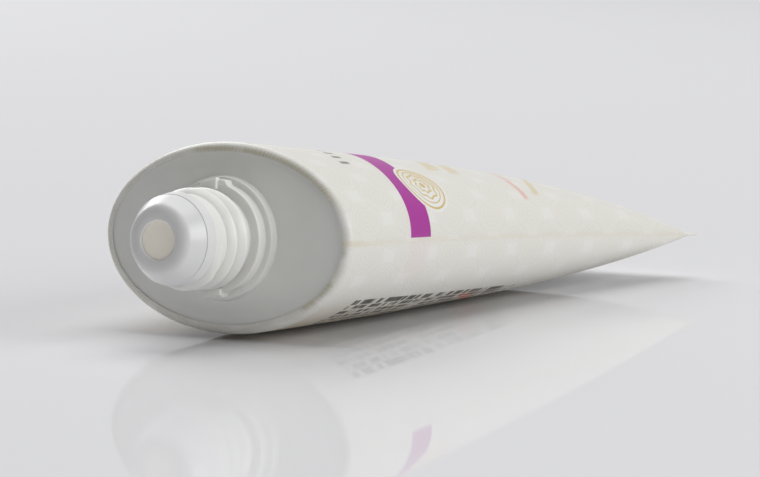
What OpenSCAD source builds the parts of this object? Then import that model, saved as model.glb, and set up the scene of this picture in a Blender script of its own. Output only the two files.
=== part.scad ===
// Oval squeeze tube for cream, lying on its underside with the sealed end
// towards +Y. The screw neck and the nozzle at its front are bare.
// All sizes are in millimetres. The tube is drawn along its own axis, with
// the shoulder at y = 0 and the neck towards -Y, and is then laid down.

/* [Sleeve] */
// Diameter of the sleeve while it is still round
tube_d = 40; // [30:0.5:60]
// Height of the oval shoulder that the sleeve is fixed to
shoulder_h = 31.5; // [22:0.5:38]
// Length of the filled part, from the shoulder to the seal
fill_len = 109; // [60:1:180]
// Thickness of the sleeve wall
wall = 0.5; // [0.3:0.05:0.8]
// Radius of the rounded edge where the sleeve wraps the shoulder
rim_r = 1.8; // [1.2:0.1:2.6]
// Share of its thickness that the sleeve loses at its wrapped end
lip_thin = 0.6; // [0:0.05:0.8]
// Swell of the upper face towards the seal, as a share of its height
top_swell = 0.35; // [0:0.01:0.6]
// Swell of the underside towards the seal, as a share of its height
under_swell = 0.36; // [0:0.01:0.6]
// How far the side crease bows up between its ends
crease_bow = 0.5; // [0:0.1:1.5]
// How much squarer than an ellipse the section is at the seal
end_square = 0.8; // [0:0.05:1.5]

/* [Seal] */
// Length of the flat sealed strip
seal_len = 4.5; // [3:0.5:9]
// Thickness of the strip on its ridges
seal_t = 0.95; // [0.7:0.05:1.6]
// Number of pressed ridges across the strip
seal_ridges = 5; // [2:1:7]
// Depth of the grooves between the ridges, on each face
seal_groove = 0.12; // [0.05:0.01:0.2]

/* [Rest] */
// Slope of the tube's axis as it lies, with the neck raised
rest_tilt = 4.4; // [2:0.1:8]
// How far the soft underside is pressed flat by its own weight
rest_press = 0.15; // [0.1:0.05:0.8]

/* [Shoulder] */
// Thickness of the shoulder plate
shoulder_t = 1.5; // [1:0.1:2.5]
// Width of the flat margin of the shoulder inside the sleeve's edge
shoulder_flat = 2; // [1:0.1:3]
// Rise of the shoulder from that margin to the foot of the neck
shoulder_rise = 0.65; // [0.3:0.05:2]
// Length of the skirt inside the sleeve
skirt_len = 3; // [2:0.1:6]
// Thickness of that skirt
skirt_t = 0.8; // [0.5:0.1:1.2]
// Clearance between the skirt and the sleeve
skirt_gap = 0.05; // [0.02:0.01:0.1]

/* [Neck] */
// Radius of the bore of the neck
bore_r = 6; // [5.2:0.1:6.4]
// Radius of the neck between the threads
neck_r = 7.35; // [7:0.05:7.8]
// Length of the neck in front of the shoulder
neck_len = 13.75; // [12:0.05:18]
// Radius of the ring at the foot of the neck
ring_r = 10.1; // [9.8:0.1:12]
// Height of that ring above the shoulder
ring_h = 1.35; // [1:0.05:2]
// Size of the bevel where that ring meets the shoulder
ring_foot = 0.25; // [0.15:0.05:0.4]
// Radius of the collar in front of the ring
collar_r = 9; // [8.5:0.1:9.5]
// Height of the collar above the ring
collar_h = 2; // [1.5:0.05:2.6]

/* [Thread] */
// Radius over the thread
thread_r = 8.3; // [8:0.05:8.4]
// Pitch of the thread
thread_pitch = 3.15; // [2.4:0.05:3.4]
// Width of the thread's flat top
thread_top = 0.4; // [0.3:0.05:0.8]
// Width of the thread at its root
thread_foot = 2.2; // [1.6:0.05:2.4]
// How far back the top leans, from 0 in the middle to 1 for an upright back flank
thread_lean = 0.55; // [0:0.05:0.9]
// Gap between the front end of the neck and the thread's start
thread_start = 0.1; // [0.1:0.05:1]
// Gap between the thread's end and the collar
thread_end = 0.35; // [0.2:0.05:1]
// Angle of the thread's start around the neck, from the right-hand side
thread_angle = -5; // [-90:5:180]

/* [Lugs] */
// Width of the two stop lugs above and below the collar
lug_w = 4.2; // [3:0.1:5]
// How far the lugs stay inside the ring's radius
lug_inset = 0.4; // [0.2:0.05:0.8]
// Radius of the hollow at each side of a lug
lug_hollow = 1.3; // [0.8:0.1:1.6]
// Width of the wedge tooth in front of each lug
tooth_w = 3.1; // [2:0.1:3.4]
// Sideways shift of that tooth from the middle of the lug
tooth_shift = 0.7; // [0:0.1:0.9]
// Height of the tooth's high end above the collar's side
tooth_rise = 0.95; // [0.5:0.05:1.2]
// Height of the tooth in front of the collar
tooth_h = 0.7; // [0.4:0.05:1]

/* [Nozzle insert] */
// Radius of the orifice
orifice_r = 3.15; // [1.5:0.05:3.4]
// Radius of the round over at the orifice
orifice_round = 0.25; // [0.15:0.05:0.6]
// Radius at which the dome's side would meet its end if that edge were sharp
end_r = 5.35; // [5:0.05:5.8]
// Share of the margin around the orifice that the rounding of that edge takes
end_round = 0.7; // [0.3:0.05:0.9]
// Share of the dome's side that this rounding takes
side_round = 0.29; // [0.1:0.01:0.6]
// Radius of the insert's brim where it meets the neck
brim_r = 7.65; // [7.5:0.05:8]
// Length of the brim
brim_len = 2.3; // [1.5:0.1:3]
// Height of the domed end in front of the brim
dome_h = 3.25; // [2.8:0.05:5]
// Radius of the dome where it meets the brim
dome_r = 7.25; // [6.8:0.05:7.4]
// Depth of the fine seam between the dome and the brim
seam = 0.18; // [0.05:0.01:0.2]
// Length of the plug inside the bore
plug_len = 6; // [3:0.5:9]
// Radius of the passage through the plug
passage_r = 4.6; // [3.6:0.1:5]
// Thickness of the insert's end wall at the orifice
end_wall = 1.6; // [1.2:0.1:2.4]
// Clearance of the plug in the bore
plug_gap = 0.05; // [0.02:0.01:0.1]

/* [Filling] */
// Depth of the cream's surface below the end of the nozzle
cream_depth = 0.45; // [0.3:0.05:1.4]
// Clearance around the cream
cream_gap = 0.08; // [0.04:0.01:0.2]

/* [Hidden] */

segs = 60;
body_rings = 22;
cavity_rings = 14;
lip_rings = 4;
lip_angle = 82;
thread_segs = 40;
round_fn = 96;
end_power = 0.5;
square_power = 1.5;
ring_crowding = 1.7;
cavity_end = 0.985;
cream_end = 0.981;
least_h = 0.1;
least_r = 0.2;
ridge_from = 0.3;
ridge_to = 0.8;
sunk = 0.3;
overlap = 1;
edge_cut = 0.25;
mouth_cut = 0.4;
fade_steps = 5;
fade_least = 0.05;
lug_under = 0.05;
lug_bite = 0.05;
lug_fn = 32;
plug_cut = 0.3;
brim_cut = 0.15;
step_in = 0.6;
orifice_gap = 0.02;

girth = PI * tube_d;
shoulder_b = shoulder_h / 2;
face_y = rim_r - wall - skirt_gap + shoulder_rise;
tip = face_y + neck_len + brim_len + dome_h;
flat_r = end_r - (end_r - orifice_r - orifice_round) * end_round;

// Points of one section: half-width w, height hu above the crease and hl
// below it, and exponent n, where 2 is an ellipse and more is squarer
function signed_pow(q, p) = sign(q) * pow(abs(q), p);
function section(w, hu, hl, n) = [for (i = [0:segs - 1])
    let (t = 360 * i / segs, z = signed_pow(sin(t), 2 / n))
    [w * signed_pow(cos(t), 2 / n), z > 0 ? z * hu : z * hl]];
function length_round(p) = let (m = len(p))
    [for (i = [0:m - 1]) norm(p[(i + 1) % m] - p[i])] * [for (i = [0:m - 1]) 1];

// Half-width at which a section has the girth of the sleeve
function width_for(hu, hl, n, lo, hi, k = 22) = let (mid = (lo + hi) / 2)
    k == 0 ? mid :
    length_round(section(mid, hu, hl, n)) > girth
        ? width_for(hu, hl, n, lo, mid, k - 1)
        : width_for(hu, hl, n, mid, hi, k - 1);

// Profile of the filled part at the share v of its length
function bow(v) = 4 * crease_bow * v * (1 - v);
function square_n(v) = 2 + end_square * pow(v, square_power);
function top_h(v) = max(seal_t / 2,
    shoulder_b * pow(1 - v, end_power) * (1 + top_swell * v * v));
function free_h(v) = max(seal_t / 2,
    shoulder_b * pow(1 - v, end_power) * (1 + under_swell * v));

// The underside is pressed flat where it would reach below the floor
axis_z = max([for (i = [0:100]) let (v = i / 100)
    (free_h(v) - bow(v)) * cos(rest_tilt) + v * fill_len * sin(rest_tilt)]) - rest_press;
function floor_h(v) = (axis_z - v * fill_len * sin(rest_tilt)) / cos(rest_tilt) + bow(v);
function under_h(v) = min(free_h(v), floor_h(v));
function half_w(v) =
    width_for(top_h(v), under_h(v), square_n(v), girth / 8, girth / 4);

shoulder_a = half_w(0);
seal_w = girth / 4;

// A ring of points across the axis, drawn in by the given inset
function ring_at(y, v, inset) = [for (p = section(half_w(v) - inset,
    max(top_h(v) - inset, least_h), max(under_h(v) - inset, least_h), square_n(v)))
    [p[0], y, p[1] + bow(v)]];
function rim_ring(y, inset) = [for (p = section(shoulder_a - inset,
    shoulder_b - inset, shoulder_b - inset, 2)) [p[0], y, p[1]]];
function seal_ring(y, t) = [for (p = section(seal_w, t / 2, t / 2, square_n(1)))
    [p[0], y, p[1]]];

// Solid through a list of rings, closed by a flat face at each end
module loft(rings) {
    n = len(rings[0]);
    m = len(rings);
    polyhedron(
        points = [for (r = rings) each r],
        faces = concat(
            [[for (i = [0:n - 1]) i]],
            [for (k = [0:m - 2]) for (i = [0:n - 1]) let (j = (i + 1) % n)
                each [[k * n + i, (k + 1) * n + i, (k + 1) * n + j],
                      [k * n + i, (k + 1) * n + j, k * n + j]]],
            [[for (i = [n - 1:-1:0]) (m - 1) * n + i]]),
        convexity = 8);
}

// Closed ring-shaped solid through a loop of rings
module loft_loop(rings) {
    n = len(rings[0]);
    m = len(rings);
    polyhedron(
        points = [for (r = rings) each r],
        faces = [for (k = [0:m - 1]) for (i = [0:n - 1])
            let (j = (i + 1) % n, q = (k + 1) % m)
            each [[k * n + i, q * n + j, q * n + i], [k * n + i, k * n + j, q * n + j]]],
        convexity = 8);
}

// Shares of the length at which the body's rings stand, closer near the seal
function share(i, count) = 1 - pow(1 - i / count, ring_crowding);

// Sleeve: wrapped edge, filled body and flat seal, with the cavity inside
module sleeve() {
    step = seal_len / seal_ridges;
    seal_end = [seal_ring(fill_len + seal_len, seal_t - 2 * seal_groove)];
    seal = [for (i = [seal_ridges - 1:-1:0]) each [
        seal_ring(fill_len + (i + ridge_to) * step, seal_t),
        seal_ring(fill_len + (i + ridge_from) * step, seal_t),
        seal_ring(fill_len + i * step, seal_t - 2 * seal_groove)]];
    outer_body = [for (i = [body_rings - 1:-1:0])
        let (v = share(i, body_rings)) ring_at(v * fill_len, v, 0)];
    outer_lip = [for (i = [1:lip_rings]) let (t = lip_angle * i / lip_rings)
        let (r = rim_r - wall * lip_thin * pow(i / lip_rings, 2))
        rim_ring(-r * sin(t), rim_r - r * cos(t))];
    lip_r = rim_r - wall;
    inner_lip = [for (i = [lip_rings:-1:1]) let (t = lip_angle * i / lip_rings)
        rim_ring(-lip_r * sin(t), rim_r - lip_r * cos(t))];
    inner_body = [for (i = [0:cavity_rings])
        let (v = cavity_end * share(i, cavity_rings)) ring_at(v * fill_len, v, wall)];
    color([0.93, 0.93, 0.91])
        loft(concat(seal_end, seal, outer_body, outer_lip, inner_lip, inner_body));
}

// Shoulder plate with its rounded edge and skirt, open in the middle
module shoulder() {
    edge = wall + skirt_gap;
    edge_r = rim_r - edge;
    inner_r = max(edge_r - skirt_t, least_r);
    round_ring = function(r, y) [for (i = [0:segs - 1]) let (t = 360 * i / segs)
        [r * cos(t), y, r * sin(t)]];
    corner = [for (t = [90:-18:0]) rim_ring(-edge_r * sin(t), rim_r - edge_r * cos(t))];
    back_y = shoulder_t - edge_r;
    skirt_v = skirt_len / fill_len;
    loft_loop(concat(
        [round_ring(ring_r - overlap, -face_y), round_ring(ring_r + 2 * ring_foot, -face_y),
         rim_ring(-edge_r, rim_r + shoulder_flat)],
        corner,
        [ring_at(skirt_len, skirt_v, edge),
         ring_at(skirt_len, skirt_v, edge + skirt_t),
         rim_ring(back_y + inner_r, edge + skirt_t),
         rim_ring(back_y, edge + skirt_t + inner_r)],
        [round_ring(ring_r - overlap, back_y - shoulder_rise)]));
}

// Round things of the neck are turned about the tube's axis, which points
// to the neck's front end as +Z while they are drawn
module on_axis() { translate([0, -face_y, 0]) rotate([90, 0, 0]) children(); }

module neck() {
    back = -shoulder_t;
    rotate_extrude($fn = round_fn) polygon([
        [bore_r, back], [ring_r + ring_foot, back], [ring_r + ring_foot, 0],
        [ring_r, ring_foot], [ring_r, ring_h - edge_cut], [ring_r - edge_cut, ring_h],
        [collar_r, ring_h], [collar_r, ring_h + collar_h - edge_cut],
        [collar_r - edge_cut, ring_h + collar_h], [neck_r, ring_h + collar_h],
        [neck_r, neck_len - mouth_cut], [neck_r - mouth_cut, neck_len], [bore_r, neck_len]]);
}

// Right-handed helical ridge, with its ends running out into the neck
module thread() {
    first_z = neck_len - thread_start - thread_foot / 2;
    last_z = ring_h + collar_h + thread_end + thread_foot / 2;
    count = floor((first_z - last_z) / thread_pitch * thread_segs);
    lean = thread_lean * (thread_foot - thread_top) / 2;
    rings = [for (i = [0:count])
        let (turn = i / thread_segs,
             fade = min(1, i / fade_steps, (count - i) / fade_steps),
             r_top = neck_r + (thread_r - neck_r) * max(fade, fade_least),
             z = first_z - turn * thread_pitch,
             a = thread_angle - 360 * turn)
        [for (p = [[neck_r - sunk, -thread_foot / 2], [r_top, -thread_top / 2 - lean],
                   [r_top, thread_top / 2 - lean], [neck_r - sunk, thread_foot / 2]])
            [p[0] * cos(a), p[0] * sin(a), z + p[1]]]];
    loft(rings);
}

// Stop lug: as high as the ring, with hollow sides that run into the collar, and
// with a wedge tooth in front
module lug() {
    height = collar_h - lug_under;
    from_axis = collar_r + lug_hollow - lug_bite;
    hollow_x = lug_w / 2 + lug_hollow;
    hollow_y = sqrt(from_axis * from_axis - hollow_x * hollow_x);
    reach = hollow_x * collar_r / from_axis;
    intersection() {
        translate([0, 0, ring_h - sunk])
            cylinder(r = ring_r - lug_inset, h = height + sunk, $fn = round_fn);
        difference() {
            translate([-reach, hollow_y * collar_r / from_axis - 2 * sunk, ring_h - sunk])
                cube([2 * reach, ring_r, height + sunk]);
            for (side = [-1, 1]) hull() for (up = [0, ring_r])
                translate([side * hollow_x, hollow_y + up, ring_h - overlap])
                    cylinder(r = lug_hollow, h = height + 2 * overlap, $fn = lug_fn);
        }
    }
    translate([-tooth_w / 2 - tooth_shift, collar_r, ring_h + collar_h - sunk])
        linear_extrude(tooth_h + sunk)
            polygon([[0, -tooth_rise], [tooth_w, -tooth_rise], [tooth_w, tooth_rise], [0, lug_under]]);
}

module tube_head() {
    color([0.80, 0.80, 0.77]) union() {
        shoulder();
        on_axis() {
            neck();
            thread();
            for (a = [0, 180]) rotate([0, 0, a]) lug();
        }
    }
}

// Nozzle insert: domed end, brim seated on the neck, plug inside the bore
module nozzle_insert() {
    top = brim_len + dome_h;
    corner = [end_r, top];
    side_end = [dome_r, brim_len] * side_round + corner * (1 - side_round);
    flat_end = [flat_r, top];
    edge_steps = 10;
    lip_steps = 4;
    color([0.95, 0.95, 0.96]) on_axis() translate([0, 0, neck_len])
        rotate_extrude($fn = round_fn) polygon(concat(
            [[passage_r, -plug_len], [bore_r - plug_gap - plug_cut, -plug_len],
             [bore_r - plug_gap, -plug_len + 2 * plug_cut], [bore_r - plug_gap, 0],
             [brim_r - brim_cut, 0], [brim_r, brim_cut],
             [dome_r + seam / 2, brim_len - seam], [dome_r - seam, brim_len - seam / 2],
             [dome_r - seam, brim_len]],
            [[dome_r, brim_len]],
            [for (i = [0:edge_steps]) let (t = i / edge_steps)
                (1 - t) * (1 - t) * side_end + 2 * t * (1 - t) * corner + t * t * flat_end],
            [for (i = [0:lip_steps]) let (t = 90 + 90 * i / lip_steps)
                [orifice_r + orifice_round + orifice_round * cos(t),
                 top - orifice_round + orifice_round * sin(t)]],
            [[orifice_r, top - end_wall], [passage_r, top - end_wall - step_in]]));
}

// Cream: fills the sleeve, the neck and the nozzle up to the orifice
module cream_filling() {
    back_y = shoulder_t - face_y + shoulder_rise + cream_gap;
    joint_z = -shoulder_t - overlap;
    skirt_in = wall + skirt_gap + skirt_t + cream_gap;
    inner_r = max(rim_r - wall - skirt_gap - skirt_t, least_r);
    skirt_end = skirt_len + cream_gap;
    first = [rim_ring(back_y, skirt_in + inner_r),
             rim_ring(back_y + inner_r, skirt_in),
             ring_at(skirt_end, skirt_end / fill_len, skirt_in)];
    body = [for (i = [1:cavity_rings])
        let (v = cream_end * share(i, cavity_rings))
        ring_at(v * fill_len, v, wall + cream_gap)];
    top = neck_len + brim_len + dome_h;
    color([0.80, 0.76, 0.68]) union() {
        loft([for (i = [len(body) - 1:-1:0]) body[i], for (i = [2:-1:0]) first[i]]);
        on_axis() rotate_extrude($fn = round_fn) polygon([
            [0, joint_z], [bore_r - cream_gap, joint_z],
            [bore_r - cream_gap, neck_len - plug_len - cream_gap],
            [passage_r - cream_gap, neck_len - plug_len - cream_gap],
            [passage_r - cream_gap, top - end_wall - step_in - cream_gap],
            [orifice_r - orifice_gap, top - end_wall - cream_gap],
            [orifice_r - orifice_gap, top - cream_depth], [0, top - cream_depth]]);
    }
}

// Lays the tube down on its underside, centred along Y
front_y = -tip * cos(rest_tilt) - flat_r * sin(rest_tilt);
back_y_end = (fill_len + seal_len) * cos(rest_tilt) + seal_t / 2 * sin(rest_tilt);
module laid() {
    translate([0, -(front_y + back_y_end) / 2, axis_z]) rotate([-rest_tilt, 0, 0]) children();
}

laid() sleeve();
laid() tube_head();
laid() nozzle_insert();
laid() cream_filling();
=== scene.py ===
"""Looks of an oval squeeze tube that lies on its underside, with its screw neck bare.

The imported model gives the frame. Four pieces stand for its four solids and keep their
forms: the printed sleeve, the moulded head, the nozzle insert and the cream. Sizes are
in millimetres along the tube's own axis, as in the part's source: the full section is
at y = 0, the neck points to -Y and the sealed end is at +Y.
"""

import logging
import math
from dataclasses import dataclass
from enum import Enum

import bpy
import numpy as np
from mathutils import Matrix, Vector


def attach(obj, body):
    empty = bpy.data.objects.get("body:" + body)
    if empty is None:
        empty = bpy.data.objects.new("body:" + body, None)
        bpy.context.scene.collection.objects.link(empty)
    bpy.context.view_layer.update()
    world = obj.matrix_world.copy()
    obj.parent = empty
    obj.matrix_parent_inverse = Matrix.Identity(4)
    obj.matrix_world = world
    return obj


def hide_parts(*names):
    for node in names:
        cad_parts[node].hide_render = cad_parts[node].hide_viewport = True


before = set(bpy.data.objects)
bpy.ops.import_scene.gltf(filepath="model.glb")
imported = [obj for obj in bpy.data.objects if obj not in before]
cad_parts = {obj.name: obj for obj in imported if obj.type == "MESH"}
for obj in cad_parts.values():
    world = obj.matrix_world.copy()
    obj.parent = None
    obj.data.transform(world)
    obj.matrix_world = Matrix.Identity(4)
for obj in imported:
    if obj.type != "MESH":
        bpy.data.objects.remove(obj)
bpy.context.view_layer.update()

log = logging.getLogger("squeeze_tube")
MM = 0.001
Ring = np.ndarray


# Small tools


def linear(code: str) -> tuple[float, float, float, float]:
    """Turns an sRGB hex colour into linear values.

    Args:
        code: Six hex digits.

    Returns:
        Red, green, blue and an alpha of 1.
    """
    parts = [int(code[i : i + 2], 16) / 255 for i in (0, 2, 4)]
    return (*[c / 12.92 if c <= 0.04045 else ((c + 0.055) / 1.055) ** 2.4 for c in parts], 1.0)


def add_node(tree: bpy.types.NodeTree, kind: str, *values, **settings) -> bpy.types.Node:
    """Adds a node with its settings, values and links.

    Args:
        tree: The node tree.
        kind: The node's type without its prefix, and after a colon its operation.
        values: For each input in order a number or colour, a node or socket to link,
            or None to leave it. A last dict gives inputs by name.
        settings: Properties of the node.

    Returns:
        The new node.
    """
    name, _, operation = kind.partition(":")
    node = tree.nodes.new("ShaderNode" + name)
    if operation:
        node.operation = operation
    for key, value in settings.items():
        setattr(node, key, value)
    named = values[-1] if values and isinstance(values[-1], dict) else {}
    listed = values[:-1] if named else values
    for key, value in [*enumerate(listed), *named.items()]:
        if isinstance(value, bpy.types.Node):
            tree.links.new(value.outputs[0], node.inputs[key])
        elif isinstance(value, bpy.types.NodeSocket):
            tree.links.new(value, node.inputs[key])
        elif value is not None:
            node.inputs[key].default_value = value
    return node


def pick(obj: bpy.types.Object) -> None:
    """Makes an object the only selected one, and active."""
    if bpy.context.object and bpy.context.object.mode != "OBJECT":
        bpy.ops.object.mode_set(mode="OBJECT")
    bpy.ops.object.select_all(action="DESELECT")
    obj.select_set(True)
    bpy.context.view_layer.objects.active = obj


def add_circle(name: str, count: int, filled: bool) -> bpy.types.Object:
    """Adds a circle of radius 1 to model from, with nothing else selected."""
    bpy.ops.object.select_all(action="DESELECT")
    bpy.ops.mesh.primitive_circle_add(
        vertices=count, radius=1.0, fill_type="NGON" if filled else "NOTHING"
    )
    obj = bpy.context.object
    obj.name = obj.data.name = name
    return obj


def corners(obj: bpy.types.Object) -> np.ndarray:
    """Coordinates of an object's vertices, one row each."""
    co = np.empty(len(obj.data.vertices) * 3)
    obj.data.vertices.foreach_get("co", co)
    return co.reshape(-1, 3)


def set_corners(obj: bpy.types.Object, co: np.ndarray) -> None:
    """Puts an object's vertices at new coordinates."""
    obj.data.vertices.foreach_set("co", co.ravel())
    obj.data.update()


def around(co: np.ndarray, count: int) -> np.ndarray:
    """Number of each vertex round a circle of that count, from +X towards +Y."""
    turn = np.arctan2(co[:, 1], co[:, 0]) / (2 * math.pi)
    return np.round((turn - np.min(np.abs(turn))) * count).astype(int) % count


def loft(name: str, rings: list[Ring], closed: bool = False) -> tuple[bpy.types.Object, np.ndarray]:
    """Extrudes a circle once for each ring, then lays the rings on their sections.

    Args:
        name: The object's name.
        rings: Rings of points in millimetres, all of one count.
        closed: True joins the last ring to the first; else both ends are capped.

    Returns:
        The object, and for each vertex the number of its ring and its place round it.
    """
    count = len(rings[0])
    obj = add_circle(name, count, not closed)
    bpy.ops.object.mode_set(mode="EDIT")
    bpy.ops.mesh.select_all(action="SELECT")
    for _ in rings[1:]:
        bpy.ops.mesh.extrude_region_move(TRANSFORM_OT_translate={"value": (0, 0, 1)})
    if closed:
        bpy.ops.mesh.select_all(action="DESELECT")
        bpy.ops.object.mode_set(mode="OBJECT")
        height = corners(obj)[:, 2]
        ends = (height < 0.5) | (height > len(rings) - 1.5)
        obj.data.vertices.foreach_set("select", ends)
        in_end = [all(ends[v] for v in e.vertices) for e in obj.data.edges]
        obj.data.edges.foreach_set("select", in_end)
        bpy.ops.object.mode_set(mode="EDIT")
        bpy.ops.mesh.bridge_edge_loops()
    bpy.ops.object.mode_set(mode="OBJECT")
    co = corners(obj)
    place = np.stack([np.round(co[:, 2]).astype(int), around(co, count)], axis=1)
    set_corners(obj, np.array(rings)[place[:, 0], place[:, 1]] * MM)
    mend_normals(obj)
    return obj, place


def mend_normals(obj: bpy.types.Object, merge: float = 0.0) -> None:
    """Merges doubles closer than a distance in metres and turns the faces outwards."""
    pick(obj)
    bpy.ops.object.mode_set(mode="EDIT")
    bpy.ops.mesh.select_all(action="SELECT")
    if merge:
        bpy.ops.mesh.remove_doubles(threshold=merge)
    bpy.ops.mesh.normals_make_consistent(inside=False)
    bpy.ops.object.mode_set(mode="OBJECT")


def turned(name: str, profile: list[tuple[float, float]], steps: int) -> bpy.types.Object:
    """Spins a closed profile about the Z axis.

    Args:
        name: The object's name.
        profile: Points of radius and height in millimetres.
        steps: Number of faces round the axis.

    Returns:
        The closed solid of revolution.
    """
    obj = add_circle(name, len(profile), False)
    points = np.array([(r, 0, z) for r, z in profile])
    set_corners(obj, points[around(corners(obj), len(profile))] * MM)
    bpy.ops.object.mode_set(mode="EDIT")
    bpy.ops.mesh.select_all(action="SELECT")
    bpy.ops.mesh.spin(steps=steps, angle=2 * math.pi, center=(0, 0, 0), axis=(0, 0, 1))
    mend_normals(obj, merge=1e-6)
    return obj


def apply_modifier(obj: bpy.types.Object, kind: str, **settings) -> None:
    """Adds a modifier with its settings and applies it."""
    pick(obj)
    made = obj.modifiers.new(kind.title(), kind)
    for key, value in settings.items():
        setattr(made, key, value)
    bpy.ops.object.modifier_apply(modifier=made.name)


def combine(obj: bpy.types.Object, others: list[bpy.types.Object], operation: str) -> None:
    """Joins, cuts or keeps the overlap of solids, and removes the tools."""
    for other in others:
        apply_modifier(obj, "BOOLEAN", object=other, operation=operation, solver="EXACT")
        bpy.data.objects.remove(other)


def soften(obj: bpy.types.Object, width: float, segments: int = 3) -> None:
    """Rounds the sharp edges of a piece by a width in millimetres."""
    apply_modifier(
        obj, "BEVEL", width=width * MM, segments=segments, limit_method="ANGLE",
        angle_limit=math.radians(32), use_clamp_overlap=True,
    )


def finish_piece(
    obj: bpy.types.Object, dress: bpy.types.Material, node: str, angle: float
) -> None:
    """Shades a piece, dresses it and puts it in the place of its solid.

    Args:
        obj: The piece, at the origin.
        dress: Its material.
        node: The solid that it stands for.
        angle: Largest angle in degrees across which the shading is smooth.
    """
    pick(obj)
    bpy.ops.object.shade_smooth_by_angle(angle=math.radians(angle))
    obj.data.materials.clear()
    obj.data.materials.append(dress)
    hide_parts(node)
    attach(obj, "root")
    log.info("%s: %d faces", obj.name, len(obj.data.polygons))


# The tube's form


@dataclass(frozen=True)
class TubeForm:
    """Sizes that the pieces share, as in the part's source."""

    tube_d: float = 40.0
    shoulder_h: float = 31.5
    fill_len: float = 109.0
    wall: float = 0.5
    rim_r: float = 1.8
    top_swell: float = 0.35
    under_swell: float = 0.36
    crease_bow: float = 0.5
    end_square: float = 0.8
    end_power: float = 0.5
    square_power: float = 1.5
    seal_len: float = 4.5
    seal_t: float = 0.95
    rest_tilt: float = 4.4
    rest_press: float = 0.15
    skirt_gap: float = 0.05
    shoulder_rise: float = 0.65
    neck_len: float = 13.75
    brim_len: float = 2.3
    dome_h: float = 3.25
    flat_r: float = 3.985
    lip_thin: float = 0.6
    points: int = 240

    @property
    def girth(self) -> float:
        """Length of the film round the tube."""
        return math.pi * self.tube_d

    @property
    def face_y(self) -> float:
        """How far the shoulder's face stands in front of the full section."""
        return self.rim_r - self.wall - self.skirt_gap + self.shoulder_rise

    @property
    def tip(self) -> float:
        """How far the nozzle's end stands in front of the full section."""
        return self.face_y + self.neck_len + self.brim_len + self.dome_h

    def bow(self, v: float) -> float:
        """Rise of the side crease at a share of the filled length."""
        return 4 * self.crease_bow * v * (1 - v)

    def squareness(self, v: float) -> float:
        """Exponent of the section, where 2 is an ellipse."""
        return 2 + self.end_square * v**self.square_power

    def top_h(self, v: float) -> float:
        """Height of the section above the crease."""
        swell = 1 + self.top_swell * v * v
        return max(self.seal_t / 2, self.shoulder_h / 2 * (1 - v) ** self.end_power * swell)

    def free_h(self, v: float) -> float:
        """Depth of the section below the crease, before it meets the floor."""
        swell = 1 + self.under_swell * v
        return max(self.seal_t / 2, self.shoulder_h / 2 * (1 - v) ** self.end_power * swell)

    def axis_z(self) -> float:
        """Height of the full section's middle above the floor."""
        tilt = math.radians(self.rest_tilt)
        reach = [
            (self.free_h(i / 100) - self.bow(i / 100)) * math.cos(tilt)
            + i / 100 * self.fill_len * math.sin(tilt)
            for i in range(101)
        ]
        return max(reach) - self.rest_press

    def under_h(self, v: float) -> float:
        """Depth of the section below the crease, pressed flat by the floor."""
        tilt = math.radians(self.rest_tilt)
        floor = (self.axis_z() - v * self.fill_len * math.sin(tilt)) / math.cos(tilt)
        return min(self.free_h(v), floor + self.bow(v))

    def section(self, w: float, up: float, down: float, n: float) -> np.ndarray:
        """Points of one section: half-width, height, depth and exponent."""
        t = 2 * math.pi * np.arange(self.points) / self.points
        x = w * np.sign(np.cos(t)) * np.abs(np.cos(t)) ** (2 / n)
        z = np.sign(np.sin(t)) * np.abs(np.sin(t)) ** (2 / n)
        return np.stack([x, np.where(z > 0, z * up, z * down)], axis=1)

    def half_w(self, v: float) -> float:
        """Half-width at which the section has the girth of the sleeve."""
        low, high = self.girth / 8, self.girth / 4
        for _ in range(22):
            mid = (low + high) / 2
            p = self.section(mid, self.top_h(v), self.under_h(v), self.squareness(v))
            longer = np.linalg.norm(np.roll(p, -1, 0) - p, axis=1).sum() > self.girth
            low, high = (low, mid) if longer else (mid, high)
        return (low + high) / 2

    def ring_at(self, y: float, v: float, inset: float) -> Ring:
        """Ring of the filled part at a share v of its length, drawn in by an inset."""
        p = self.section(
            self.half_w(v) - inset, max(self.top_h(v) - inset, 0.1),
            max(self.under_h(v) - inset, 0.1), self.squareness(v),
        )
        return np.stack([p[:, 0], np.full(len(p), y), p[:, 1] + self.bow(v)], axis=1)

    def rim_ring(self, y: float, inset: float) -> Ring:
        """Ring of the oval shoulder, drawn in by an inset."""
        b = self.shoulder_h / 2 - inset
        p = self.section(self.half_w(0) - inset, b, b, 2)
        return np.stack([p[:, 0], np.full(len(p), y), p[:, 1]], axis=1)

    def seal_ring(self, y: float, t: float) -> Ring:
        """Ring of the flat seal with a thickness t."""
        p = self.section(self.girth / 4, t / 2, t / 2, self.squareness(1))
        return np.stack([p[:, 0], np.full(len(p), y), p[:, 1]], axis=1)

    def round_ring(self, y: float, r: float) -> Ring:
        """Round ring about the tube's axis."""
        t = 2 * math.pi * np.arange(self.points) / self.points
        return np.stack([r * np.cos(t), np.full(self.points, y), r * np.sin(t)], axis=1)

    def laid(self) -> Matrix:
        """Matrix that lays the tube down, as in the part's source."""
        tilt = math.radians(self.rest_tilt)
        front = -self.tip * math.cos(tilt) - self.flat_r * math.sin(tilt)
        back = (self.fill_len + self.seal_len) * math.cos(tilt)
        back += self.seal_t / 2 * math.sin(tilt)
        place = Matrix.Translation((0, -(front + back) / 2 * MM, self.axis_z() * MM))
        return place @ Matrix.Rotation(-tilt, 4, "X")

    def on_axis(self) -> Matrix:
        """Matrix that sets a round thing drawn along +Z on the neck's axis."""
        return Matrix.Translation((0, -self.face_y * MM, 0)) @ Matrix.Rotation(
            math.pi / 2, 4, "X"
        )


FORM = TubeForm()


# Finishes


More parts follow.
